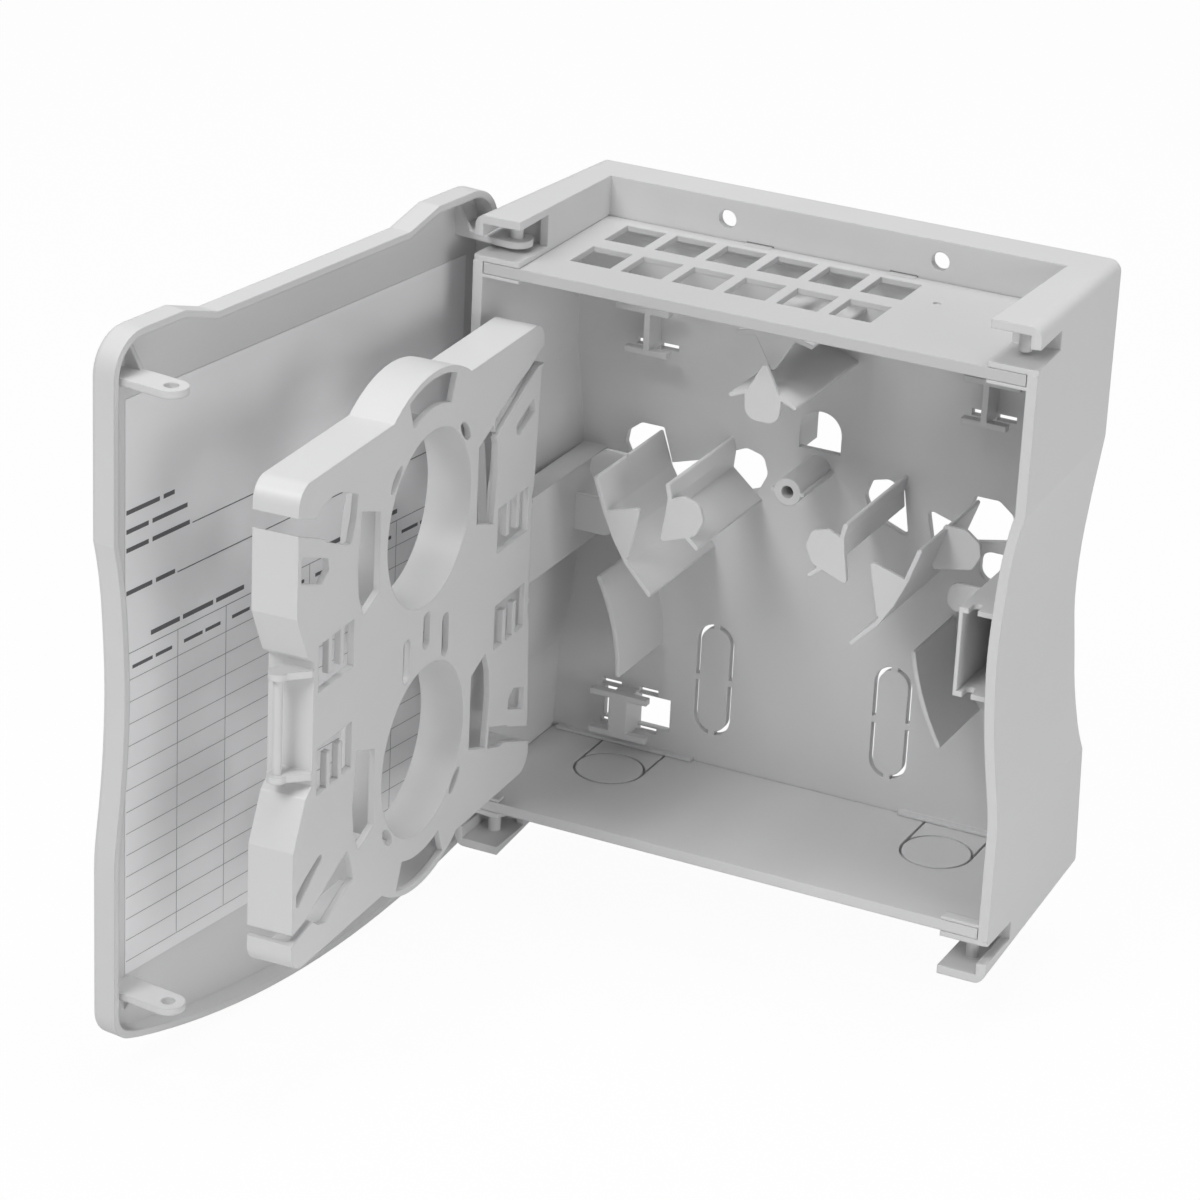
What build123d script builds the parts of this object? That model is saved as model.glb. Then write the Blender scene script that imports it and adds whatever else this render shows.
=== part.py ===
"""Wall-mounted fibre splice box: a deep moulded base with fibre guides, two slide-in
end plates, a hinged cover with its record label, and a swing-out splice tray.

The frame: X across the box, +Y into the wall, +Z up. The origin is the middle of the two
wall-screw holes, on the face that the screw heads bear on. The cover and the tray stand open.
"""
from build123d import *
from math import cos, radians, sin
import os

os.makedirs("parts", exist_ok=True)

# Base housing, outside
box_width = 200.0
box_height = 231.8
box_depth = 83.4
wall = 3.6
back_narrowing = 4.1
top_fall = 2.5
foot_rise = 7.6
edge_radius = 4.0
ear_bevel = (2.0, 0.7)

# Side wall profile from the middle of the box, height by half width, at the front and the back
front_side = [(100.0, 52.0), (98.4, 45.0), (96.6, 33.0), (95.5, 19.0), (94.9, 7.0), (94.8, -2.0),
              (95.0, -9.0), (95.8, -22.6), (97.1, -35.0), (98.5, -45.0), (99.7, -54.0), (100.0, -60.0)]
back_side = [(95.9, 52.0), (95.1, 45.5), (94.1, 38.0), (92.5, 24.5), (91.2, 11.0), (90.7, 0.0),
             (90.8, -11.0), (92.0, -24.0), (93.2, -37.5), (95.1, -50.0), (96.6, -57.0), (98.5, -63.0)]

# Base housing, back plate and end recesses
plate_depth = 67.0
plate_thickness = 2.8
recess_depth = 16.0
rim_width = 17.0
rim_wall = 3.0
ledge_thickness = 1.9
flange_thickness = 3.0
skirt_height = 7.4
skirt_thickness = 3.3
slot_depth = 22.0
slot_side_depth = 20.5
screw_spacing = 77.6
screw_below_top = 9.2
screw_hole_radius = 3.2

# End plates
end_plate_thickness = 4.1
end_plate_gap = 0.3
lip_length = 14.0
lip_thickness = 1.2
lip_depth = 4.0
back_rib_length = 44.0
back_rib_width = 2.6
latch_spacing = 52.6
latch_width = 9.4
latch_height = 1.8
latch_length = 2.2
latch_gap = 0.3
window_size = (14.75, 17.57)
window_pitch = (18.74, 25.73)
window_count = (6, 2)
window_middle = (-18.7, 38.9)
window_pocket = (116.0, 48.0)
window_pocket_depth = 1.9
dimple_place = (46.6, 46.5)
dimple_radius = 1.3
dimple_depth = 0.6
entry_radius = 12.8
entry_spacing = 125.2
entry_depth = 45.3
groove_width = 0.9
groove_depth = 2.2

# Hinge pins and cover
hinge_inset = 9.5
hinge_depth = 12.5
hinge_pin_radius = 2.2
hinge_clearance = 0.1
pin_bottom_gap = 1.2
cover_angle = 97.3
cover_gap = 1.8
cover_depth = 9.4
cover_wall = 2.4
cover_overhang = 3.7
cover_top_dip = 4.8
cover_dip_half = 50.0
cover_dip_run = 16.0
cover_foot_bulge = 12.0
cover_foot_half = 88.0
cover_foot_drop = 6.7
cover_corner = 14.0
cover_edge_radius = 2.2
tongue_thickness = 2.4
tongue_width = 11.0
tongue_nose = 5.5
tongue_flare = 1.8
tongue_flare_length = 8.0
tongue_below_top = 10.0
gusset_thickness = 1.6
gusset_length = 6.5

# Record label inside the cover
label_thickness = 0.3
label_hinge_edge = -91.5
label_free_edge = 86.5
label_top = 94.8
label_bottom = -102.8

# Brackets that carry the tray
bracket_inset = 20.6
bracket_half_height = 15.7
bracket_wall = 1.3
bracket_flange = 1.8
bracket_front = 2.6
tray_pin_inset = 15.8
tray_pin_depth = 6.2
tray_pin_radius = 1.5
tray_pin_gap = 0.1

# Splice tray
tray_angle = 87.9
tray_plate = 2.2
tray_depth = 15.8
tray_back = 9.1
tray_wall = 1.8
tray_half_height = 82.0
tray_hinge_edge = -83.0
tray_free_edge = 89.6
tray_corner = 7.0
yoke_half_height = 19.3
yoke_edge = 78.0
yoke_gap_free = [(91.6, 39.5), (89.6, 39.5), (82.0, 23.8), (78.0, 21.0), (78.0, -21.0), (82.0, -23.8), (89.6, -39.5),
                 (91.6, -39.5)]
yoke_gap_hinge = [(-86.0, 66.0), (-81.6, 66.0), (-79.4, 26.0), (-78.0, 21.0), (-78.0, -21.0), (-79.4, -26.0),
                  (-81.6, -66.0), (-86.0, -66.0)]
ring_rise = 40.8
ring_radius = 29.8
ring_wall = 1.8
crown_radius = 49.5
lug_thickness = 2.4
lug_gap = 0.5
lug_radius = 3.2

# Fibre guides on the back plate
guide_wall = 1.6
guide_front = 16.0
tab_thickness = 1.4
tab_clearance = 0.5
boss_height = 24.5
boss_radius = 4.9
boss_bore = 2.2
boss_front = 42.0
boss_rib = 1.2

# Places that follow from the sizes
top_z = screw_below_top
mid_z = top_z - box_height / 2
half_height = box_height / 2
half_width = box_width / 2
front_y = -plate_depth
floor_z = half_height - recess_depth
end_plate_top = floor_z
end_plate_foot = floor_z - end_plate_thickness
rim_inner = half_width - rim_width

front = Plane(origin=(0, front_y, mid_z), x_dir=(1, 0, 0), z_dir=(0, -1, 0))


def at_depth(depth):
    """A plane across the box, this far behind its front, drawn in X and height."""
    return front.offset(-depth)


def level(height, depth=0.0):
    """A flat plane at this height above the middle, drawn in X and depth."""
    return Plane(origin=(0, front_y + depth, mid_z + height), x_dir=(1, 0, 0), z_dir=(0, 0, 1))


def blend(front_value, back_value, depth):
    """A size that changes evenly from the front of the box to its back."""
    return front_value + (back_value - front_value) * depth / box_depth


def half_at(depth):
    """Half widths of the box's top, waist and foot at this depth."""
    narrowest = blend(min(front_side)[0], min(back_side)[0], depth)
    return half_width - blend(0, back_narrowing, depth), narrowest, half_width - blend(0, 0.4, depth)


def side_at(depth):
    """The side wall's profile at this depth."""
    return [(blend(fx, bx, depth), blend(fz, bz, depth)) for (fx, fz), (bx, bz) in zip(front_side, back_side)]


def top_at(depth):
    return half_height - blend(0, top_fall, depth)


def foot_at(depth):
    return -half_height + blend(0, foot_rise, depth)


def box_section(depth, inset, top, foot):
    """The waisted outline of the box at one depth, as a sketch."""
    side = [(x - inset, z) for x, z in side_at(depth)]
    low_x, low_z = side[-1]
    foot_x = low_x + (half_width - inset - low_x) * (low_z - foot) / (low_z - foot_at(depth))
    with BuildSketch(at_depth(depth)) as section:
        with BuildLine():
            Line((0, top), (side[0][0], top))
            Line((side[0][0], top), side[0])
            Spline(*side)
            Line(side[-1], (foot_x, foot))
            Line((foot_x, foot), (0, foot))
            mirror(about=Plane.YZ)
        make_face()
    return section


def block(x_low, x_high, depth_low, depth_high, low, high, mode=Mode.ADD):
    """A plain block between two values each way, from the front plane's middle."""
    with BuildSketch(level(low)) as base:
        with Locations(((x_low + x_high) / 2, (depth_low + depth_high) / 2)):
            Rectangle(x_high - x_low, depth_high - depth_low)
    extrude(base.sketch, amount=high - low, mode=mode)


def both_sides(x_low, x_high, *spans, mode=Mode.ADD):
    """The same block at the left and at the right."""
    block(x_low, x_high, *spans, mode=mode)
    block(-x_high, -x_low, *spans, mode=mode)


def fin(points, depth_low, depth_high):
    """A thin guide fin between two depths: an arc through three points, or a polyline."""
    with BuildSketch(at_depth(depth_high)) as fin_sketch:
        with BuildLine():
            if len(points) == 3:
                ThreePointArc(*points)
            else:
                Polyline(*points)
            offset(amount=guide_wall / 2, side=Side.BOTH)
        make_face()
    extrude(fin_sketch.sketch, amount=depth_high - depth_low)


def tab(points, depth, corner, hole=True):
    """A retaining tab at one depth, and the mould's hole for it in the back plate."""
    with BuildSketch(at_depth(depth + tab_thickness)) as tab_sketch:
        with BuildLine():
            FilletPolyline(*points, radius=corner, close=True)
        make_face()
    extrude(tab_sketch.sketch, amount=tab_thickness)
    if hole:
        with BuildSketch(at_depth(plate_depth + plate_thickness)) as hole_sketch:
            add(tab_sketch.sketch_local)
            offset(amount=tab_clearance)
        extrude(hole_sketch.sketch, amount=plate_thickness, mode=Mode.SUBTRACT)


def flip(points):
    """The same points on the other side of the box."""
    return [(-x, z) for x, z in points]


# Fibre guide outlines, right-hand side, from the middle of the box
outer_fin = [(59.0, 25.4), (55.1, 14.1), (50.8, 4.8), (45.9, -3.1), (37.3, -12.3)]
outer_tab = [(55.6, 14.2), (41.8, 18.4), (46.2, -3.2)]
inner_fin = [(32.4, 28.6), (31.4, 24.2), (32.0, 18.2), (20.8, 8.6)]
inner_tab = [(32.0, 23.5), (26.5, 26.0), (20.5, 24.4), (18.6, 18.6), (21.4, 12.6), (34.4, 7.6)]
rear_tab = [(58.5, 26.9), (66.5, 26.9), (71.5, 23.0), (72.2, 18.5), (69.5, 13.4), (55.8, 10.6), (54.6, 14.1)]
left_lip_tab = [(-79.8, 6.4), (-64.5, 6.4), (-64.5, -7.0), (-79.8, -7.0)]
right_lip_tab = [(79.8, 8.0), (62.0, 8.0), (62.0, -2.0), (79.8, -2.0)]
inner_tab_corners = (0.6, 3.0, 3.0, 3.5, 3.0, 1.2)
rear_tab_corners = (0.4, 2.0, 2.0, 2.0, 1.4, 0.4, 0.4)
lip_tab_corners = (0.2, 4.0, 4.0, 0.2)
left_lip_depth = 43.0
right_lip_depth = 37.0
left_foot_fin = [(-63.8, -18.0), (-58.0, -33.0), (-54.9, -52.7)]
right_foot_fin = [(53.6, -18.4), (57.6, -33.7), (65.0, -49.8)]
crown_fin = [(-11.4, 65.6), (0.0, 68.6), (11.4, 65.6)]
crown_tab = [(0.0, 79.6), (-6.6, 66.7), (-6.0, 58.2), (6.0, 58.2), (6.6, 66.7)]
upper_fin = [(-13.0, 85.0), (0.0, 87.0), (13.0, 85.0)]
upper_tab = [(-8.0, 87.0), (8.0, 87.0), (0.0, 73.4)]
crown_tab_depth = 16.0
upper_fin_front = 23.0
rear_tab_depth = 38.0
foot_fin_front = 32.0
tie_post_place = (62.2, 64.5)
tie_post_height = 15.0
tie_post_bar = 16.0
tie_post_front = 57.0
tie_post_reach = 4.0
tie_post_wall = 2.2
tie_bar_depth = 3.0
foot_post_place = (-66.0, -81.0)
foot_post_size = (7.0, 15.0)
foot_post_bar = 22.0
arch_middle = 0.4
arch_foot = 31.0
arch_width = 15.4
arch_height = 14.4
arch_wall = 1.6
arch_wall_gap = 1.0
knockout_spacing = 67.6
knockout_height = -63.0
knockout_size = (42.5, 14.0)
knockout_slit = 1.4
knockout_bridge = 2.4


def tie_post(x, z, height, web, bar):
    """An I-shaped post that a cable tie goes round, with the mould's holes behind its bars."""
    block(x - web / 2, x + web / 2, tie_post_front, plate_depth, z - height / 2, z + height / 2)
    for bar_z in (z - height / 2, z + height / 2):
        low = bar_z - tie_post_wall / 2
        high = bar_z + tie_post_wall / 2
        block(x - bar / 2, x + bar / 2, tie_post_front, tie_post_front + tie_bar_depth, low, high)
        for x_low, x_high in ((x - bar / 2, x - web / 2), (x + web / 2, x + bar / 2)):
            block(x_low, x_high, plate_depth - 1, plate_depth + plate_thickness + 1,
                  low, high, mode=Mode.SUBTRACT)


with BuildPart() as housing:
    # Outer body, narrower and shorter at the back
    outer_front = box_section(0, 0, top_at(0), foot_at(0))
    outer_back = box_section(box_depth, 0, top_at(box_depth), foot_at(box_depth))
    loft([outer_front.sketch.face(), outer_back.sketch.face()], ruled=True)
    long_edges = [
        edge for edge in housing.edges()
        if edge.bounding_box().size.Y > box_depth - 1 and abs(edge.center().X) > half_width - 10
        and (edge.center().Z > top_z - 5 or edge.center().Z < mid_z - half_height + 6)
    ]
    fillet(long_edges, edge_radius)

    # Front room, between the two end plates' grooves
    room_front = box_section(-1, wall, floor_z, -floor_z)
    room_back = box_section(plate_depth, wall, floor_z, -floor_z)
    loft([room_front.sketch.face(), room_back.sketch.face()], ruled=True, mode=Mode.SUBTRACT)

    # Hollow back, open to the wall
    hollow_start = plate_depth + plate_thickness
    hollow_end = box_depth + 1
    hollow_front = box_section(hollow_start, wall, top_at(hollow_start) - wall, foot_at(hollow_start) + wall)
    hollow_back = box_section(hollow_end, wall, top_at(hollow_end) - wall, foot_at(hollow_end) + wall)
    loft([hollow_front.sketch.face(), hollow_back.sketch.face()], ruled=True, mode=Mode.SUBTRACT)

    for end in (1, -1):
        span = sorted((end * (floor_z - 1), end * (half_height + 1)))
        block(-rim_inner, rim_inner, -1, plate_depth, *span, mode=Mode.SUBTRACT)

        # Ear slots for the cover's tongues, open to the front and to the side
        ledge_top = floor_z + ledge_thickness
        flange_foot = half_height - flange_thickness
        pocket = sorted((end * ledge_top, end * flange_foot))
        pocket_outer = half_width - skirt_thickness
        both_sides(rim_inner - 1, rim_inner + rim_wall, -1, slot_side_depth, *pocket, mode=Mode.SUBTRACT)
        both_sides(rim_inner + rim_wall, pocket_outer, -1, slot_depth, *pocket, mode=Mode.SUBTRACT)
        notch = sorted((end * ledge_top, end * (half_height - skirt_height)))
        both_sides(pocket_outer - 1, half_width + 1, -1, slot_depth, *notch, mode=Mode.SUBTRACT)

        # Bevelled front corners, clear of the cover's corners as it swings shut
        for side in (-1, 1):
            with BuildSketch(level(min(end * floor_z, end * (half_height + 1)))) as bevel:
                with BuildLine():
                    Polyline((side * (half_width - ear_bevel[0]), 0), (side * half_width, ear_bevel[1]),
                             (side * (half_width + 1), ear_bevel[1]), (side * (half_width + 1), -1),
                             (side * (half_width - ear_bevel[0]), -1), close=True)
                make_face()
            extrude(bevel.sketch, amount=half_height + 1 - floor_z, mode=Mode.SUBTRACT)

        # Hollow rims behind the slots, open to the back
        rim_back = (half_at(box_depth)[0] if end > 0 else half_at(box_depth)[2]) - wall
        rim_top = (top_at(box_depth) if end > 0 else -foot_at(box_depth)) - flange_thickness
        rim_hollow = sorted((end * ledge_top, end * rim_top))
        both_sides(rim_inner + rim_wall, rim_back, slot_depth + rim_wall, box_depth + 1,
                   *rim_hollow, mode=Mode.SUBTRACT)

        # Hinge pins under the flanges
        pin_foot = ledge_top + pin_bottom_gap
        pin_span = sorted((end * pin_foot, end * (flange_foot + 1)))
        with BuildSketch(level(pin_span[0])) as hinge_pins:
            with Locations((half_width - hinge_inset, hinge_depth), (hinge_inset - half_width, hinge_depth)):
                Circle(hinge_pin_radius)
        extrude(hinge_pins.sketch, amount=pin_span[1] - pin_span[0])

        # Grooves for the end plate: front lips, back ribs and side ribs
        lip_high = end_plate_foot - end_plate_gap / 2
        lip = sorted((end * lip_high, end * (lip_high - lip_thickness)))
        lip_end = half_width - wall + 0.5
        both_sides(lip_end - lip_length, lip_end, 0, lip_depth, *lip)
        rib_start = rim_inner - back_rib_length + 1
        both_sides(rib_start, half_at(plate_depth)[0] - wall + 0.5, plate_depth - back_rib_width,
                   plate_depth, *lip)

    # Wall-screw holes, in line above the upper end plate
    with BuildSketch(at_depth(plate_depth + plate_thickness)) as screw_holes:
        with Locations((0, half_height - screw_below_top)):
            with GridLocations(screw_spacing, 0, 2, 1):
                Circle(screw_hole_radius)
    extrude(screw_holes.sketch, amount=plate_thickness, mode=Mode.SUBTRACT)

    # Latch slots for both end plates
    for end in (1, -1):
        slot_low = floor_z - latch_height - latch_gap
        latch_span = sorted((end * slot_low, end * (floor_z + latch_gap)))
        for side in (-latch_spacing / 2, latch_spacing / 2):
            reach = latch_width / 2 + latch_gap
            block(side - reach, side + reach, plate_depth - 1, plate_depth + plate_thickness + 1,
                  *latch_span, mode=Mode.SUBTRACT)

    # Tray brackets: tubes from the side walls, notched at the front for the tray's pin
    bracket_outer = half_width - bracket_inset
    tube_outer = half_at(0)[1] - wall + 0.5
    both_sides(bracket_outer, bracket_outer + bracket_wall, bracket_front, plate_depth,
               -bracket_half_height, bracket_half_height)
    for low in (-bracket_half_height, bracket_half_height - bracket_flange):
        both_sides(bracket_outer, tube_outer - 3.0, bracket_front, plate_depth, low, low + bracket_flange)
        both_sides(bracket_outer, tube_outer, bracket_front, bracket_front + 20, low, low + bracket_flange)
    notch_half = tray_pin_radius + tray_pin_gap
    pin_x = half_width - tray_pin_inset
    both_sides(pin_x - notch_half, pin_x + notch_half, bracket_front - 1, tray_pin_depth,
               -bracket_half_height - 1, bracket_half_height + 1, mode=Mode.SUBTRACT)
    with BuildSketch(level(-bracket_half_height - 1)) as notch_ends:
        with Locations((pin_x, tray_pin_depth), (-pin_x, tray_pin_depth)):
            Circle(notch_half)
    extrude(notch_ends.sketch, amount=2 * bracket_half_height + 2, mode=Mode.SUBTRACT)

    # Guide fins and their retaining tabs
    for turn in (list, flip):
        fin(turn(outer_fin), guide_front, plate_depth)
        tab(turn(outer_tab), guide_front, 1.2)
        fin(turn(inner_fin), guide_front, plate_depth)
        tab(turn(inner_tab), guide_front, inner_tab_corners)
        tab(turn(rear_tab), rear_tab_depth, rear_tab_corners)
    tab(left_lip_tab, left_lip_depth, lip_tab_corners)
    tab(right_lip_tab, right_lip_depth, lip_tab_corners)
    fin(left_foot_fin, foot_fin_front, plate_depth)
    fin(right_foot_fin, foot_fin_front, plate_depth)
    fin(crown_fin, guide_front, plate_depth)
    tab(crown_tab, crown_tab_depth, (1.2, 2.0, 4.5, 4.5, 2.0), hole=False)
    fin(upper_fin, upper_fin_front, plate_depth)
    tab(upper_tab, upper_fin_front, 1.0, hole=False)

    # Cable-tie posts
    for side in (-1, 1):
        tie_post(side * tie_post_place[0], tie_post_place[1], tie_post_height, tie_post_wall, tie_post_bar)
        bar_end = tie_post_place[0] + tie_post_bar / 2
        reach = sorted((side * (bar_end - 0.5), side * (bar_end + tie_post_reach)))
        bar_z = tie_post_place[1] + tie_post_height / 2
        block(*reach, tie_post_front, tie_post_front + tie_bar_depth,
              bar_z - tie_post_wall / 2, bar_z + tie_post_wall / 2)
    post_x, post_z = foot_post_place
    block(post_x - 10, post_x + 16, plate_depth - 1, plate_depth + plate_thickness + 1,
          post_z - 6, post_z + 6, mode=Mode.SUBTRACT)
    tie_post(post_x, post_z, foot_post_size[1], foot_post_size[0], foot_post_bar)
    block(post_x - foot_post_size[0] / 2, post_x + foot_post_size[0] / 2, tie_post_front,
          plate_depth + plate_thickness, post_z - foot_post_size[1] / 2, post_z + foot_post_size[1] / 2)

    # Central boss with its screw bore
    with BuildSketch(at_depth(plate_depth)) as boss_sketch:
        with Locations((0, boss_height)):
            Circle(boss_radius)
            Rectangle(2 * (boss_radius + boss_rib), boss_rib)
    extrude(boss_sketch.sketch, amount=plate_depth - boss_front)
    with BuildSketch(at_depth(plate_depth - 4)) as boss_bore_sketch:
        with Locations((0, boss_height)):
            Circle(boss_bore)
    extrude(boss_bore_sketch.sketch, amount=plate_depth, mode=Mode.SUBTRACT)

    # Arched cable hole above the boss, with a wall round it behind the plate
    with BuildSketch(at_depth(plate_depth + plate_thickness)) as arch_sketch:
        with Locations((arch_middle, arch_foot + (arch_height - arch_width / 2) / 2)):
            Rectangle(arch_width, arch_height - arch_width / 2)
        with Locations((arch_middle, arch_foot + arch_height - arch_width / 2)):
            Circle(arch_width / 2)
        with Locations((arch_middle, arch_foot - arch_width / 2)):
            Rectangle(arch_width, arch_width, mode=Mode.SUBTRACT)
    with BuildSketch(at_depth(box_depth - arch_wall_gap)) as arch_wall_sketch:
        add(arch_sketch.sketch_local)
        offset(amount=arch_wall)
        add(arch_sketch.sketch_local, mode=Mode.SUBTRACT)
        with Locations((arch_middle, arch_foot - arch_wall / 2)):
            Rectangle(arch_width, arch_wall + 0.2, mode=Mode.SUBTRACT)
    extrude(arch_wall_sketch.sketch, amount=box_depth - arch_wall_gap - plate_depth - 1)
    extrude(arch_sketch.sketch, amount=plate_thickness, mode=Mode.SUBTRACT)

    # Oblong knockouts, cut round but for four bridges each
    with BuildSketch(at_depth(plate_depth + plate_thickness)) as knockouts:
        with Locations((-knockout_spacing / 2, knockout_height), (knockout_spacing / 2, knockout_height)):
            SlotOverall(*knockout_size, rotation=90)
            SlotOverall(knockout_size[0] - 2 * knockout_slit, knockout_size[1] - 2 * knockout_slit,
                        rotation=90, mode=Mode.SUBTRACT)
            Rectangle(knockout_bridge, knockout_size[0] + 2, mode=Mode.SUBTRACT)
            Rectangle(knockout_size[1] + 2, knockout_bridge, mode=Mode.SUBTRACT)
    extrude(knockouts.sketch, amount=plate_thickness, mode=Mode.SUBTRACT)


def end_plate_outline(end, height):
    """The end plate's outline between its grooves, with two latch tongues at the back."""
    side = 0 if end > 0 else 2
    front_half = half_at(0)[side] - wall - end_plate_gap
    back_depth = plate_depth - end_plate_gap
    back_half = half_at(plate_depth)[side] - wall - end_plate_gap
    with BuildSketch(level(height)) as outline:
        with BuildLine():
            Polyline((-front_half, 0), (front_half, 0), (back_half, back_depth),
                     (-back_half, back_depth), close=True)
        make_face()
    return outline


def latch_tongues(end):
    """Two flat tongues that pass through the back wall's latch slots."""
    span = sorted((end * (floor_z - latch_height), end * floor_z))
    for side in (-latch_spacing / 2, latch_spacing / 2):
        block(side - latch_width / 2, side + latch_width / 2, plate_depth - 3,
              plate_depth + latch_length, *span)


with BuildPart() as adapter_plate:
    extrude(end_plate_outline(1, end_plate_foot).sketch, amount=end_plate_thickness - end_plate_gap / 2)
    latch_tongues(1)
    with BuildSketch(level(end_plate_foot - 1)) as pocket_sketch:
        with Locations(window_middle):
            RectangleRounded(*window_pocket, 1.0)
    extrude(pocket_sketch.sketch, amount=window_pocket_depth + 1, mode=Mode.SUBTRACT)
    with BuildSketch(level(end_plate_foot - 1)) as windows:
        with Locations(window_middle):
            with GridLocations(*window_pitch, *window_count):
                Rectangle(*window_size)
    extrude(windows.sketch, amount=end_plate_thickness + 2, mode=Mode.SUBTRACT)
    with BuildSketch(level(end_plate_top - dimple_depth - end_plate_gap / 2)) as dimple:
        with Locations(dimple_place):
            Circle(dimple_radius)
    extrude(dimple.sketch, amount=dimple_depth + 1, mode=Mode.SUBTRACT)

with BuildPart() as entry_plate:
    extrude(end_plate_outline(-1, -end_plate_top + end_plate_gap / 2).sketch,
            amount=end_plate_thickness - end_plate_gap / 2)
    latch_tongues(-1)
    # Round knockouts, each grooved round and back to the rear edge
    with BuildSketch(level(-end_plate_foot - groove_depth)) as grooves:
        with Locations((-entry_spacing / 2, entry_depth), (entry_spacing / 2, entry_depth)):
            Circle(entry_radius)
            Circle(entry_radius - groove_width, mode=Mode.SUBTRACT)
        for side in (-entry_spacing / 2, entry_spacing / 2):
            for edge_x in (side - entry_radius + groove_width / 2, side + entry_radius - groove_width / 2):
                with Locations((edge_x, (entry_depth + plate_depth + 2) / 2)):
                    Rectangle(groove_width, plate_depth + 2 - entry_depth)
    extrude(grooves.sketch, amount=groove_depth + 1, mode=Mode.SUBTRACT)


def leaf_plane(pin_x, pin_depth, angle, middle):
    """A plane across a swinging leaf, drawn in distance from its middle and in height."""
    turn = radians(angle)
    along = (cos(turn), -sin(turn), 0)
    outward = (-sin(turn), -cos(turn), 0)
    origin = (pin_x + middle * along[0], front_y + pin_depth + middle * along[1], mid_z)
    return Plane(origin=origin, x_dir=along, z_dir=outward)


# The cover's plane runs through its hinge line; offsets are towards its outer face
cover_plane = leaf_plane(hinge_inset - half_width, hinge_depth, cover_angle, half_width - hinge_inset)
cover_rim = hinge_depth + cover_gap
cover_face = cover_rim + cover_depth
cover_top = half_height + cover_overhang


def cover_outline(inset):
    """The cover's outline, inset by a wall: dipped top, waisted sides and a bulging foot."""
    top = cover_top - inset
    dip = top - cover_top_dip
    side = half_width - inset
    waist_side = [(x - inset, z) for x, z in front_side]
    foot_corner = -half_height - cover_foot_drop + inset
    bulge = foot_corner - cover_foot_bulge
    with BuildSketch() as outline:
        with BuildLine():
            Line((0, dip), (cover_dip_half, dip))
            Line((cover_dip_half, dip), (cover_dip_half + cover_dip_run, top))
            Line((cover_dip_half + cover_dip_run, top), (side, top))
            Line((side, top), waist_side[0])
            Spline(*waist_side)
            Line(waist_side[-1], (side, foot_corner + 4.0))
            Line((side, foot_corner + 4.0), (cover_foot_half, foot_corner))
            ThreePointArc((cover_foot_half, foot_corner), (cover_foot_half / 2, bulge + cover_foot_bulge / 4), (0, bulge))
            mirror(about=Plane.YZ)
        make_face()
        corners = outline.vertices().group_by(Axis.Y)[-1].sort_by(Axis.X)
        fillet([corners[0], corners[-1]], cover_corner - inset)
        feet = [v for v in outline.vertices() if abs(v.X) > half_width - inset - 0.1 and v.Y < front_side[-1][1] - 20]
        fillet(feet, cover_corner - inset - 4)
    return outline


with BuildPart() as cover:
    with BuildSketch(cover_plane.offset(cover_rim)) as shell_outline:
        add(cover_outline(0).sketch_local)
    extrude(shell_outline.sketch, amount=cover_depth)
    outer_face = cover.faces().sort_by(Axis(cover_plane.origin, cover_plane.z_dir))[-1]
    fillet(outer_face.edges(), cover_edge_radius)
    with BuildSketch(cover_plane.offset(cover_rim)) as room_outline:
        add(cover_outline(cover_wall).sketch_local)
    extrude(room_outline.sketch, amount=cover_depth - cover_wall, mode=Mode.SUBTRACT)

    # Four tongues, with eyes for the hinge pins, and a gusset beside each
    pin_reach = half_width - hinge_inset
    tongue_top = half_height - tongue_below_top
    for end in (1, -1):
        tongue_foot = min(end * tongue_top, end * (tongue_top - tongue_thickness))
        tongue_plane = Plane(origin=cover_plane.origin + Vector(0, 0, tongue_foot),
                             x_dir=cover_plane.x_dir, z_dir=(0, 0, 1))
        with BuildSketch(tongue_plane) as tongues:
            for side in (-pin_reach, pin_reach):
                with Locations((side, (tongue_width / 2 - tongue_nose - cover_face + cover_wall) / 2)):
                    Rectangle(tongue_width, tongue_width / 2 - tongue_nose + cover_face - cover_wall)
                with Locations((side, tongue_nose - tongue_width / 2)):
                    Circle(tongue_width / 2)
                root_x = side + (tongue_width / 2 if side > 0 else -tongue_width / 2)
                flare_x = root_x + (tongue_flare if side > 0 else -tongue_flare)
                with BuildLine():
                    Polyline((root_x, cover_wall - cover_face), (flare_x, cover_wall - cover_face),
                             (root_x, cover_wall - cover_face + tongue_flare_length), close=True)
                make_face()
                with Locations((side, 0)):
                    Circle(hinge_pin_radius + hinge_clearance, mode=Mode.SUBTRACT)
        extrude(tongues.sketch, amount=tongue_thickness)
        outer_skin = (end * (tongue_top - 0.5), end * (cover_top - cover_wall + 0.5))
        for side in (-1, 1):
            gusset_x = side * (pin_reach - tongue_width / 2 + gusset_thickness / 2)
            gusset_plane = Plane(origin=cover_plane.from_local_coords((gusset_x, 0, 0)),
                                 x_dir=-cover_plane.z_dir, z_dir=cover_plane.x_dir)
            with BuildSketch(gusset_plane) as gusset:
                with BuildLine():
                    Polyline((-cover_face + cover_wall / 2, outer_skin[0]),
                             (-cover_face + cover_wall + gusset_length, outer_skin[0]),
                             (-cover_face + cover_wall / 2, outer_skin[1]), close=True)
                make_face()
            extrude(gusset.sketch, amount=gusset_thickness / 2, both=True)

with BuildPart() as label:
    with BuildSketch(cover_plane.offset(cover_face - cover_wall - label_thickness)) as paper:
        with Locations(((label_hinge_edge + label_free_edge) / 2, (label_top + label_bottom) / 2)):
            Rectangle(label_free_edge - label_hinge_edge, label_top - label_bottom)
    extrude(paper.sketch, amount=label_thickness)

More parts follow.
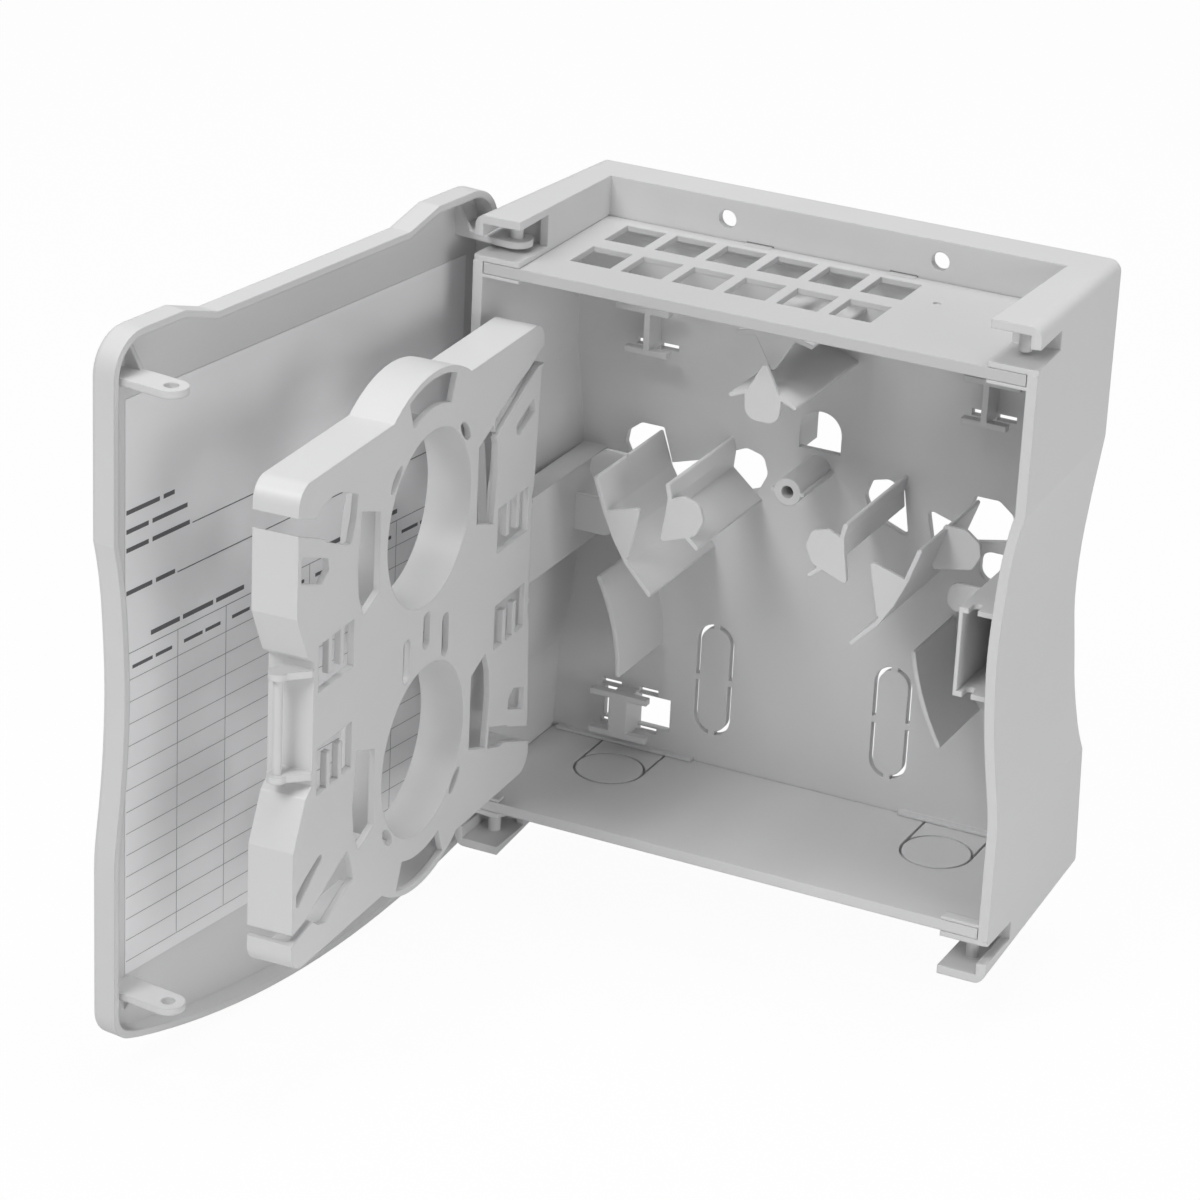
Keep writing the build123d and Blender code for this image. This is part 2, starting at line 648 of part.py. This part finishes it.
# The tray's plane runs through its pin line; positive offsets are towards the cover
tray_pin_reach = half_width - tray_pin_inset
tray_plane = leaf_plane(-tray_pin_reach, tray_pin_depth, tray_angle, tray_pin_reach)
tray_front = tray_depth - tray_back


def tray_outline(inset):
    """The tray's outline: a plate with a crown over each ring and a gap beside each bracket."""
    with BuildSketch() as outline:
        with Locations(((tray_hinge_edge + tray_free_edge) / 2, 0)):
            RectangleRounded(tray_free_edge - tray_hinge_edge - 2 * inset,
                             2 * (tray_half_height - inset), tray_corner - inset)
        with Locations((0, ring_rise), (0, -ring_rise)):
            Circle(crown_radius - inset)
        edge = yoke_edge - inset
        for edge_points in (yoke_gap_hinge, yoke_gap_free):
            with BuildLine():
                Polyline(*[(x - inset if x > 0 else x + inset, z) for x, z in edge_points], close=True)
            make_face(mode=Mode.SUBTRACT)
    return outline


# Tray openings on its upper half, mirrored for the lower half
bar_window = (23.4, 16.0)
bar_window_middle = (63.3, 17.5)
bar_width = 2.4
bar_length = 12.0
tall_slot_hinge = [(-34.8, 53.0), (-45.6, 57.4), (-49.0, 49.5), (-50.0, 40.0), (-48.0, 21.4), (-35.0, 26.0)]
tall_slot_free = [(34.8, 28.6), (45.6, 24.2), (49.0, 32.1), (50.0, 41.6), (48.0, 60.2), (35.0, 55.6)]
arc_window_radii = (37.5, 47.3)
arc_window_half_angle = 21.0
crescent_place = (24.5, 21.5)
crescent_size = (10.0, 4.2)
finger_slot_hinge = [(-86.0, 67.0), (-79.0, 67.0), (-47.4, 51.6), (-46.6, 59.0), (-61.6, 65.2), (-72.0, 68.6),
                     (-80.0, 72.2), (-86.0, 73.5)]
finger_slot_free = [(91.0, 67.4), (91.0, 73.0), (78.5, 68.6), (75.6, 70.8), (67.7, 72.3), (62.7, 71.8), (50.6, 67.0),
                    (51.8, 59.0), (54.7, 51.8), (58.4, 52.7), (71.7, 58.7), (72.7, 59.9)]
finger_slot_low = [(91.0, -68.3), (91.0, -71.9), (75.9, -69.1), (72.0, -72.0), (66.9, -73.5), (54.3, -68.2),
                   (48.5, -66.3), (50.0, -60.0), (53.0, -54.2), (79.2, -65.8)]
finger_slot_hinge_low = [(-86.0, -66.4), (-86.0, -73.2), (-63.5, -64.5), (-59.0, -64.4), (-49.8, -61.2),
                         (-50.6, -53.6), (-64.5, -58.5), (-66.1, -59.8), (-80.3, -65.3)]
small_slot = [(-77.0, 57.0), (-78.0, 51.6), (-66.7, 46.9), (-63.8, 47.8), (-63.0, 51.0)]
small_window = [(-64.8, -52.8), (-65.2, -49.0), (-68.8, -46.2), (-78.0, -49.6), (-78.0, -57.8)]
d_window = [(87.4, 59.3), (69.9, 52.6), (69.3, 48.6), (73.6, 45.3), (87.4, 50.4)]
slant_slot = [(67.5, -47.5), (72.5, -47.5), (87.0, -54.0), (87.0, -60.5)]
middle_slots = ((14.0, -4.0, 15.5), (0.0, 1.6, 13.0), (-14.0, -5.0, 15.5))
middle_slot_width = 5.0

with BuildPart() as tray:
    with BuildSketch(tray_plane.offset(-tray_back)) as tray_shape:
        add(tray_outline(0).sketch_local)
    extrude(tray_shape.sketch, amount=tray_depth)
    with BuildSketch(tray_plane.offset(tray_plate - tray_back)) as tray_room:
        add(tray_outline(tray_wall).sketch_local)
        with Locations((0, ring_rise), (0, -ring_rise)):
            Circle(ring_radius + ring_wall, mode=Mode.SUBTRACT)
    extrude(tray_room.sketch, amount=tray_depth, mode=Mode.SUBTRACT)

    through = tray_plane.offset(-tray_back - 1)
    with BuildSketch(through) as rings:
        with Locations((0, ring_rise), (0, -ring_rise)):
            Circle(ring_radius)
    extrude(rings.sketch, amount=tray_depth + 2, mode=Mode.SUBTRACT)

    with BuildSketch(through) as plate_slots:
        for half in (1, -1):
            drop = ring_rise * (half - 1)
            for points in (tall_slot_hinge, tall_slot_free):
                with BuildLine():
                    Polyline(*[(x, z + drop) for x, z in points], close=True)
                make_face()
            for side in (1, -1):
                with Locations((side * bar_window_middle[0], half * bar_window_middle[1])):
                    Rectangle(*bar_window)
                for bar in (-1, 1):
                    bar_x = side * bar_window_middle[0] + bar * bar_window[0] / 6
                    bar_z = half * (bar_window_middle[1] + (bar_window[1] - bar_length) / 2)
                    with Locations((bar_x, bar_z)):
                        Rectangle(bar_width, bar_length, mode=Mode.SUBTRACT)
                with Locations(Location((side * crescent_place[0], half * (ring_rise + crescent_place[1])),
                                        -45 * side * half)):
                    Ellipse(crescent_size[0] / 2, crescent_size[1] / 2)
    extrude(plate_slots.sketch, amount=tray_plate + 2, mode=Mode.SUBTRACT)

    with BuildSketch(through) as arc_windows:
        for half in (1, -1):
            with BuildLine():
                for radius in arc_window_radii:
                    CenterArc((0, half * ring_rise), radius, half * 90 - arc_window_half_angle,
                              2 * arc_window_half_angle)
                for angle in (half * 90 - arc_window_half_angle, half * 90 + arc_window_half_angle):
                    ends = [(radius * cos(radians(angle)), half * ring_rise + radius * sin(radians(angle)))
                            for radius in arc_window_radii]
                    Line(*ends)
            make_face()
    extrude(arc_windows.sketch, amount=tray_plate + 2, mode=Mode.SUBTRACT)

    with BuildSketch(through) as single_slots:
        for x, z, length in middle_slots:
            with Locations((x, z)):
                SlotOverall(length, middle_slot_width, rotation=90)
        for points in (small_window, d_window, small_slot, slant_slot):
            with BuildLine():
                FilletPolyline(*points, radius=1.2, close=True)
            make_face()
    extrude(single_slots.sketch, amount=tray_plate + 2, mode=Mode.SUBTRACT)

    with BuildSketch(through) as finger_slots:
        for points in (finger_slot_hinge, finger_slot_free, finger_slot_low, finger_slot_hinge_low):
            with BuildLine():
                Polyline(*points, close=True)
            make_face()
    extrude(finger_slots.sketch, amount=tray_depth + 2, mode=Mode.SUBTRACT)

    # Yokes at both sides: two lugs and a pin between them
    lug_start = bracket_half_height + lug_gap
    for end in (1, -1):
        lug_foot = min(end * lug_start, end * (lug_start + lug_thickness))
        lug_plane = Plane(origin=tray_plane.origin + Vector(0, 0, lug_foot),
                          x_dir=tray_plane.x_dir, z_dir=(0, 0, 1))
        with BuildSketch(lug_plane) as lugs:
            for side in (-1, 1):
                with BuildLine():
                    Polyline((side * (tray_pin_reach + lug_radius), 0), (side * (tray_pin_reach + lug_radius), -1),
                             (side * (yoke_edge - tray_wall), -tray_front + 4),
                             (side * (yoke_edge - tray_wall), tray_back),
                             (side * (yoke_edge + 1), tray_back), close=True)
                make_face()
                with Locations((side * tray_pin_reach, 0)):
                    Circle(lug_radius)
        extrude(lugs.sketch, amount=lug_thickness)
    pin_plane = Plane(origin=tray_plane.origin - Vector(0, 0, lug_start + 1), x_dir=tray_plane.x_dir, z_dir=(0, 0, 1))
    with BuildSketch(pin_plane) as tray_pins:
        with Locations((-tray_pin_reach, 0), (tray_pin_reach, 0)):
            Circle(tray_pin_radius)
    extrude(tray_pins.sketch, amount=2 * (lug_start + 1))

pieces = {
    "base_housing": housing,
    "adapter_plate": adapter_plate,
    "cable_entry_plate": entry_plate,
    "cover": cover,
    "cover_label": label,
    "splice_tray": tray,
}
for name, piece in pieces.items():
    piece.part.label = name
    export_step(piece.part, f"parts/{name}.step")
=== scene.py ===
"""Studio scene of an open fibre splice box: grey moulded plastic, a printed record label
inside the cover, a pale floor and soft light. Everything stands in the box's own frame.
Lengths are in metres, or in millimetres where a comment says so.
"""
import math

import bpy
from mathutils import Matrix, Vector


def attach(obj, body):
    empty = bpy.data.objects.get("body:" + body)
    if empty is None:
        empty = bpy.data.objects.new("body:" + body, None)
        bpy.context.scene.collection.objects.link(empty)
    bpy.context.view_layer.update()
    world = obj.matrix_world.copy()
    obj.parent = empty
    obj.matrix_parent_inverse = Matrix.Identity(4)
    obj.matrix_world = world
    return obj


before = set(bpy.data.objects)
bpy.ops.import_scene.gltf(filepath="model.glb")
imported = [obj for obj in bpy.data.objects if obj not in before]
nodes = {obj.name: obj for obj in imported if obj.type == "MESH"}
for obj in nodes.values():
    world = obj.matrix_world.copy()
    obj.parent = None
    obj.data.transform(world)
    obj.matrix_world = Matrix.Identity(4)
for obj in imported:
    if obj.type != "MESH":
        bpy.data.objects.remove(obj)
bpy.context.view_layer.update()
bpy.ops.object.select_all(action="DESELECT")

MM = 0.001

# The middle of the box's height and its front plane, in millimetres
MIDDLE_Z = -106.7
FRONT_Y = -67.0

# The open cover, in millimetres: its hinge line, the distance from there to the label's face,
# and the cover's middle along its width
HINGE = (-90.5, FRONT_Y + 12.5)
LABEL_OFFSET = 21.0
COVER_MIDDLE = 90.5
COVER_ANGLE = math.radians(97.3)


# ---------------------------------------------------------------- camera

# The photograph's view; the target and the three distances from it are in millimetres
VIEW_AZIMUTH = math.radians(24.917)
VIEW_ELEVATION = math.radians(23.549)
VIEW_ROLL = math.radians(2.946)
VIEW_TARGET = Vector((0.0, -27.0, -122.2))
VIEW_RIGHT = 48.013
VIEW_DOWN = -0.866
VIEW_DISTANCE = 1485.115
FOCAL_LENGTH = 131.22
SENSOR_WIDTH = 36.0
LENS_SHIFT = (-0.03024, 0.00478)
CLIP_END = 50.0


def add_camera():
    """The camera at the photograph's viewing angle."""
    back = Vector((math.sin(VIEW_AZIMUTH) * math.cos(VIEW_ELEVATION),
                   -math.cos(VIEW_AZIMUTH) * math.cos(VIEW_ELEVATION),
                   math.sin(VIEW_ELEVATION)))
    level_right = Vector((math.cos(VIEW_AZIMUTH), math.sin(VIEW_AZIMUTH), 0.0))
    level_up = back.cross(level_right)
    right = level_right * math.cos(VIEW_ROLL) + level_up * math.sin(VIEW_ROLL)
    up = level_up * math.cos(VIEW_ROLL) - level_right * math.sin(VIEW_ROLL)
    place = VIEW_TARGET - right * VIEW_RIGHT + up * VIEW_DOWN + back * VIEW_DISTANCE
    data = bpy.data.cameras.new("studio_camera")
    data.lens = FOCAL_LENGTH
    data.sensor_width = SENSOR_WIDTH
    data.shift_x, data.shift_y = LENS_SHIFT
    data.clip_end = CLIP_END
    camera = bpy.data.objects.new("studio_camera", data)
    bpy.context.scene.collection.objects.link(camera)
    turn = Matrix((right, up, back)).transposed()
    camera.matrix_world = Matrix.Translation(place * MM) @ turn.to_4x4()
    bpy.context.scene.camera = camera


# ---------------------------------------------------------------- shader helpers

def fresh_tree(owner):
    """The emptied shader tree of a material or a world."""
    owner.use_nodes = True
    owner.node_tree.nodes.clear()
    return owner.node_tree


def node(tree, kind, place, **settings):
    """A shader node at a place in the editor, with its properties set."""
    made = tree.nodes.new(kind)
    made.location = place
    for key, value in settings.items():
        setattr(made, key, value)
    return made


def set_inputs(made, values):
    """Sets a node's unlinked inputs by name."""
    for name, value in values.items():
        made.inputs[name].default_value = value


# ---------------------------------------------------------------- plastics

# Noise scales per metre: the satin grain is fine, and the flow mottling is slow
GRAIN_SCALE = 900.0
FLOW_SCALE = 14.0
GRAIN_DEPTH = 0.0002

# Moulded edges: their radius, and the cosines of the normal's turn where the painted
# highlight, a paler edge, starts and where it is full
EDGE_RADIUS = 0.0007
COVER_EDGE_RADIUS = 0.0009
SHEET_EDGE_RADIUS = 0.0001
EDGE_SAMPLES = 4
EDGE_STARTS = 0.995
EDGE_IS_FULL = 0.80

PLASTIC_IOR = 1.49
SPECULAR_LEVEL = 0.5
SMOOTHER = 0.06
ROUGHER = 0.08


def moulded_surface_group():
    """Fine satin grain, slow flow mottling and painted edge highlights of a moulding, as one
    group.
    """
    group = bpy.data.node_groups.new("moulded_surface", "ShaderNodeTree")
    face = group.interface
    for name, default in (("Grain Scale", GRAIN_SCALE), ("Flow Scale", FLOW_SCALE),
                          ("Edge Radius", EDGE_RADIUS)):
        socket = face.new_socket(name, in_out="INPUT", socket_type="NodeSocketFloat")
        socket.default_value = default
    for name in ("Grain", "Flow", "Edge"):
        face.new_socket(name, in_out="OUTPUT", socket_type="NodeSocketFloat")
    face.new_socket("Normal", in_out="OUTPUT", socket_type="NodeSocketVector")
    link = group.links.new
    entry = node(group, "NodeGroupInput", (-900, 0))
    leave = node(group, "NodeGroupOutput", (600, 0))
    place = node(group, "ShaderNodeTexCoord", (-900, 300))

    for name, height, values in (("Grain", 350, {"Detail": 3.0, "Roughness": 0.6}),
                                 ("Flow", 80, {"Detail": 4.0, "Distortion": 0.6})):
        noise = node(group, "ShaderNodeTexNoise", (-500, height))
        set_inputs(noise, values)
        link(place.outputs["Object"], noise.inputs["Vector"])
        link(entry.outputs[name + " Scale"], noise.inputs["Scale"])
        link(noise.outputs["Fac"], leave.inputs[name])

    rounded = node(group, "ShaderNodeBevel", (-500, -200), samples=EDGE_SAMPLES)
    link(entry.outputs["Edge Radius"], rounded.inputs["Radius"])
    link(rounded.outputs["Normal"], leave.inputs["Normal"])
    # The Edge output masks a painted highlight, where the rounded normal turns from the true
    # one
    true_normal = node(group, "ShaderNodeNewGeometry", (-500, -380))
    facing = node(group, "ShaderNodeVectorMath", (-250, -250), operation="DOT_PRODUCT")
    link(rounded.outputs["Normal"], facing.inputs[0])
    link(true_normal.outputs["Normal"], facing.inputs[1])
    edge = node(group, "ShaderNodeMapRange", (0, -250))
    set_inputs(edge, {"From Min": EDGE_STARTS, "From Max": EDGE_IS_FULL})
    link(facing.outputs["Value"], edge.inputs["Value"])
    link(edge.outputs["Result"], leave.inputs["Edge"])
    return group


def plastic(name, colour, edge_highlight_colour, surface, roughness=0.42, grain=0.06,
            edge_radius=EDGE_RADIUS, flow=0.035):
    """Satin moulded plastic: the base colour, a little flow mottling and a painted highlight
    on the edges.
    """
    material = bpy.data.materials.new(name)
    tree = fresh_tree(material)
    link = tree.links.new
    out = node(tree, "ShaderNodeOutputMaterial", (900, 0))
    shader = node(tree, "ShaderNodeBsdfPrincipled", (600, 0))
    link(shader.outputs["BSDF"], out.inputs["Surface"])
    set_inputs(shader, {"IOR": PLASTIC_IOR, "Specular IOR Level": SPECULAR_LEVEL})
    skin = node(tree, "ShaderNodeGroup", (-600, 0), node_tree=surface)
    set_inputs(skin, {"Edge Radius": edge_radius})

    mottle = node(tree, "ShaderNodeMix", (-200, 250), data_type="RGBA")
    dark = [part * (1 - flow) for part in colour]
    light = [min(1.0, part * (1 + flow)) for part in colour]
    set_inputs(mottle, {"A": (*dark, 1), "B": (*light, 1)})
    link(skin.outputs["Flow"], mottle.inputs["Factor"])
    # Painted highlight: the edges are mixed towards the paler edge grey
    edge_highlight = node(tree, "ShaderNodeMix", (100, 250), data_type="RGBA")
    set_inputs(edge_highlight, {"B": (*edge_highlight_colour, 1)})
    link(mottle.outputs["Result"], edge_highlight.inputs["A"])
    link(skin.outputs["Edge"], edge_highlight.inputs["Factor"])
    link(edge_highlight.outputs["Result"], shader.inputs["Base Color"])

    rough = node(tree, "ShaderNodeMapRange", (100, -50))
    set_inputs(rough, {"To Min": roughness - SMOOTHER, "To Max": roughness + ROUGHER})
    link(skin.outputs["Flow"], rough.inputs["Value"])
    link(rough.outputs["Result"], shader.inputs["Roughness"])

    bump = node(tree, "ShaderNodeBump", (300, -250))
    set_inputs(bump, {"Strength": grain, "Distance": GRAIN_DEPTH})
    link(skin.outputs["Grain"], bump.inputs["Height"])
    link(skin.outputs["Normal"], bump.inputs["Normal"])
    link(bump.outputs["Normal"], shader.inputs["Normal"])
    return material


def dress(name, material):
    """Gives a carried-over piece its one material."""
    slots = nodes[name].data.materials
    slots.clear()
    slots.append(material)


# ---------------------------------------------------------------- label print

# The print, in millimetres: across from the cover's middle towards its free side, and up from
# its middle height
INK_HEIGHT = 0.05
RULE = 0.35
THIN_RULE = 0.2
FORM_LEFT = 86.0
FORM_RIGHT = -80.0

# Each write-in line's start and height, and each heading's base, end and lengths of its words
WRITE_IN_LINES = ((53.6, 43.9), (61.0, 29.4))
HEADINGS = ((56.6, 62.6, (3, 1)), (50.2, 56.2, (2, 3.2)), (44.0, 55.0, (2, 3.4)),
            (29.6, 62.2, (2.4, 1.8)))
HEADING_HEIGHT = 1.5

# The table: the title over each half, its columns with a caption each, and its rows
TITLES = ((74.0, 27.0), (-14.0, -56.0))
TITLE_WORDS = (3.2, 3.4, 3.2)
TITLE_BASE = 12.4
TITLE_HEIGHT = 1.6
TABLE_TOP = 9.6
TABLE_FOOT = -98.0
COLUMNS = (60.5, 36.0, 12.0, -8.0, -32.0, -56.0)
CAPTION_WORDS = (2.2, 1.8)
CAPTION_MARGIN = 3.0
CAPTION_BASE = 4.0
CAPTION_HEIGHT = 1.2
FIRST_ROW = 0.4
ROW_PITCH = 7.6
ROWS_END = -98.5

# The gap between two words, in the unit of the lengths of the words
WORD_GAP = 0.35


def cover_point(across, height, lift):
    """A point over the label: across from the cover's middle, above its middle height."""
    along = Vector((math.cos(COVER_ANGLE), -math.sin(COVER_ANGLE), 0.0))
    outward = Vector((-math.sin(COVER_ANGLE), -math.cos(COVER_ANGLE), 0.0))
    hinge = Vector((*HINGE, MIDDLE_Z))
    place = hinge + along * (across + COVER_MIDDLE) + outward * (LABEL_OFFSET - lift)
    return (place + Vector((0.0, 0.0, height))) * MM


def add_print(name, bars, material):
    """Printed bars as one raised mesh: each is (left, right, low, high) on the label."""
    bpy.ops.object.select_all(action="DESELECT")
    bpy.ops.mesh.primitive_cube_add(size=MM)
    piece = bpy.context.object
    bpy.ops.object.mode_set(mode="EDIT")
    bpy.ops.mesh.select_all(action="SELECT")
    bpy.ops.mesh.delete(type="VERT")
    for left, right, low, high in bars:
        bpy.ops.mesh.primitive_cube_add(size=MM)
        bpy.ops.transform.resize(value=(right - left, INK_HEIGHT, high - low))
        bpy.ops.transform.rotate(value=COVER_ANGLE, orient_axis="Z", center_override=(0, 0, 0))
        middle = cover_point((left + right) / 2, (low + high) / 2, INK_HEIGHT / 2)
        bpy.ops.transform.translate(value=middle)
    bpy.ops.object.mode_set(mode="OBJECT")
    piece.name = name
    piece.data.name = name
    piece.data.materials.append(material)
    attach(piece, "cover")


def text_bars(left, right, base, height, words):
    """Stand-ins for a line of small print: a row of bars as long as its words."""
    bars = []
    reach = sum(words) + WORD_GAP * (len(words) - 1)
    unit = (left - right) / reach
    start = left
    for word in words:
        bars.append((start - word * unit, start, base, base + height))
        start -= (word + WORD_GAP) * unit
    return bars


def label_bars():
    """The record form on the label as dark and pale bars: write-in lines and a ruled table."""
    dark = [(FORM_RIGHT, start, height, height + RULE) for start, height in WRITE_IN_LINES]
    for base, end, words in HEADINGS:
        dark += text_bars(FORM_LEFT, end, base, HEADING_HEIGHT, words)
    for start, end in TITLES:
        dark += text_bars(start, end, TITLE_BASE, TITLE_HEIGHT, TITLE_WORDS)
    dark.append((FORM_RIGHT, FORM_LEFT, TABLE_TOP, TABLE_TOP + THIN_RULE))
    edges = (FORM_LEFT,) + COLUMNS + (FORM_RIGHT,)
    for start, end in zip(edges, edges[1:]):
        dark += text_bars(start - CAPTION_MARGIN, end + CAPTION_MARGIN, CAPTION_BASE,
                          CAPTION_HEIGHT, CAPTION_WORDS)

    pale = [(column, column + THIN_RULE, TABLE_FOOT, TABLE_TOP) for column in COLUMNS]
    row = FIRST_ROW
    while row > ROWS_END:
        pale.append((FORM_RIGHT, FORM_LEFT, row, row + THIN_RULE))
        row -= ROW_PITCH
    return dark, pale


# ---------------------------------------------------------------- studio

FLOOR_Z = -0.2419
FLOOR_WIDTH = 12.0
FLOOR_SHADE = (0.8, 0.8, 0.8, 1)

# How much of the floor that the camera sees is plain white and not lit cloth
FLOOR_WHITE_SHARE = 0.96

WHITE = (1, 1, 1, 1)
WORLD_LIGHT = 0.30

# Soft square lamps: name, place, width, and power in watts
LAMP_AIM = Vector((0, -0.05, -0.1))
LAMPS = (("key_lamp", (-0.5, -1.5, 1.5), 0.8, 20.0),
         ("top_lamp", (0.1, 0.1, 1.9), 0.9, 20.0),
         ("side_lamp", (1.8, -0.9, 0.2), 0.8, 8.8))


def white_stage_material():
    """A pale floor that looks white to the camera and keeps the soft shadow."""
    material = bpy.data.materials.new("studio_floor")
    tree = fresh_tree(material)
    link = tree.links.new
    out = node(tree, "ShaderNodeOutputMaterial", (600, 0))
    cloth = node(tree, "ShaderNodeBsdfDiffuse", (0, 150))
    set_inputs(cloth, {"Color": FLOOR_SHADE})
    glow = node(tree, "ShaderNodeEmission", (0, -50))
    set_inputs(glow, {"Strength": 1.0})
    rays = node(tree, "ShaderNodeLightPath", (-400, 0))
    seen = node(tree, "ShaderNodeMath", (0, 350), operation="MULTIPLY")
    seen.inputs[1].default_value = FLOOR_WHITE_SHARE
    mix = node(tree, "ShaderNodeMixShader", (300, 0))
    link(rays.outputs["Is Camera Ray"], seen.inputs[0])
    link(seen.outputs["Value"], mix.inputs["Fac"])
    link(cloth.outputs["BSDF"], mix.inputs[1])
    link(glow.outputs["Emission"], mix.inputs[2])
    link(mix.outputs["Shader"], out.inputs["Surface"])
    return material


def add_floor():
    """The pale floor under the box."""
    bpy.ops.object.select_all(action="DESELECT")
    bpy.ops.mesh.primitive_plane_add(size=FLOOR_WIDTH, location=(0, 0, FLOOR_Z))
    floor = bpy.context.object
    floor.name = "studio_floor"
    floor.data.materials.append(white_stage_material())


def add_world():
    """Soft even light from all round, seen by the camera as plain white."""
    world = bpy.data.worlds.new("studio_world")
    bpy.context.scene.world = world
    tree = fresh_tree(world)
    link = tree.links.new
    out = node(tree, "ShaderNodeOutputWorld", (600, 0))
    soft = node(tree, "ShaderNodeBackground", (0, 100))
    set_inputs(soft, {"Color": WHITE, "Strength": WORLD_LIGHT})
    white = node(tree, "ShaderNodeBackground", (0, -100))
    set_inputs(white, {"Color": WHITE, "Strength": 1.0})
    rays = node(tree, "ShaderNodeLightPath", (-300, 300))
    mix = node(tree, "ShaderNodeMixShader", (300, 0))
    link(rays.outputs["Is Camera Ray"], mix.inputs["Fac"])
    link(soft.outputs["Background"], mix.inputs[1])
    link(white.outputs["Background"], mix.inputs[2])
    link(mix.outputs["Shader"], out.inputs["Surface"])


def add_lamp(name, place, size, power):
    """A soft square lamp that points at the box."""
    data = bpy.data.lights.new(name, "AREA")
    data.shape = "SQUARE"
    data.size = size
    data.energy = power
    lamp = bpy.data.objects.new(name, data)
    bpy.context.scene.collection.objects.link(lamp)
    lamp.location = place
    direction = LAMP_AIM - Vector(place)
    lamp.rotation_euler = direction.to_track_quat("-Z", "Y").to_euler()


add_camera()
add_world()
add_floor()
for lamp_row in LAMPS:
    add_lamp(*lamp_row)


# ---------------------------------------------------------------- the box's looks

# Greys of the plastics; the paler edge greys paint a highlight on the moulded edges
GREY = (0.66, 0.66, 0.665)
EDGE_HIGHLIGHT_GREY = (0.76, 0.76, 0.765)
# The adapter plate's greys are darker copies of the housing's: painted shade for the recessed
# plate
SHADED_PLATE_GREY = (0.57, 0.57, 0.575)
PLATE_EDGE_HIGHLIGHT_GREY = (0.7, 0.7, 0.705)
TRAY_GREY = (0.67, 0.67, 0.675)
PAPER = (0.86, 0.86, 0.87)
INK = (0.12, 0.12, 0.125)
PALE_INK = (0.28, 0.28, 0.29)

TRAY_ROUGHNESS = 0.36
PAPER_ROUGHNESS = 0.5
PAPER_GRAIN = 0.03

surface = moulded_surface_group()
housing_plastic = plastic("housing_plastic_skin", GREY, EDGE_HIGHLIGHT_GREY, surface)
dress("base_housing", housing_plastic)
dress("cable_entry_plate", housing_plastic)
# The recessed adapter plate gets the darker greys, painted shade
dress("adapter_plate", plastic("plate_plastic_skin", SHADED_PLATE_GREY, PLATE_EDGE_HIGHLIGHT_GREY, surface))
dress("cover", plastic("cover_plastic_skin", GREY, EDGE_HIGHLIGHT_GREY, surface,
                       edge_radius=COVER_EDGE_RADIUS))
dress("splice_tray", plastic("tray_plastic_skin", TRAY_GREY, EDGE_HIGHLIGHT_GREY, surface,
                             roughness=TRAY_ROUGHNESS))
dress("cover_label", plastic("label_paper_skin", PAPER, PAPER, surface,
                             roughness=PAPER_ROUGHNESS, grain=PAPER_GRAIN,
                             edge_radius=SHEET_EDGE_RADIUS))

dark_bars, pale_bars = label_bars()
for print_name, print_bars, skin_name, print_colour in (
        ("label_print", dark_bars, "label_ink_skin", INK),
        ("label_ruling", pale_bars, "label_pale_ink_skin", PALE_INK)):
    add_print(print_name, print_bars,
              plastic(skin_name, print_colour, print_colour, surface,
                      roughness=PAPER_ROUGHNESS, grain=0.0, edge_radius=SHEET_EDGE_RADIUS))

scene = bpy.context.scene
scene.view_settings.view_transform = "Standard"
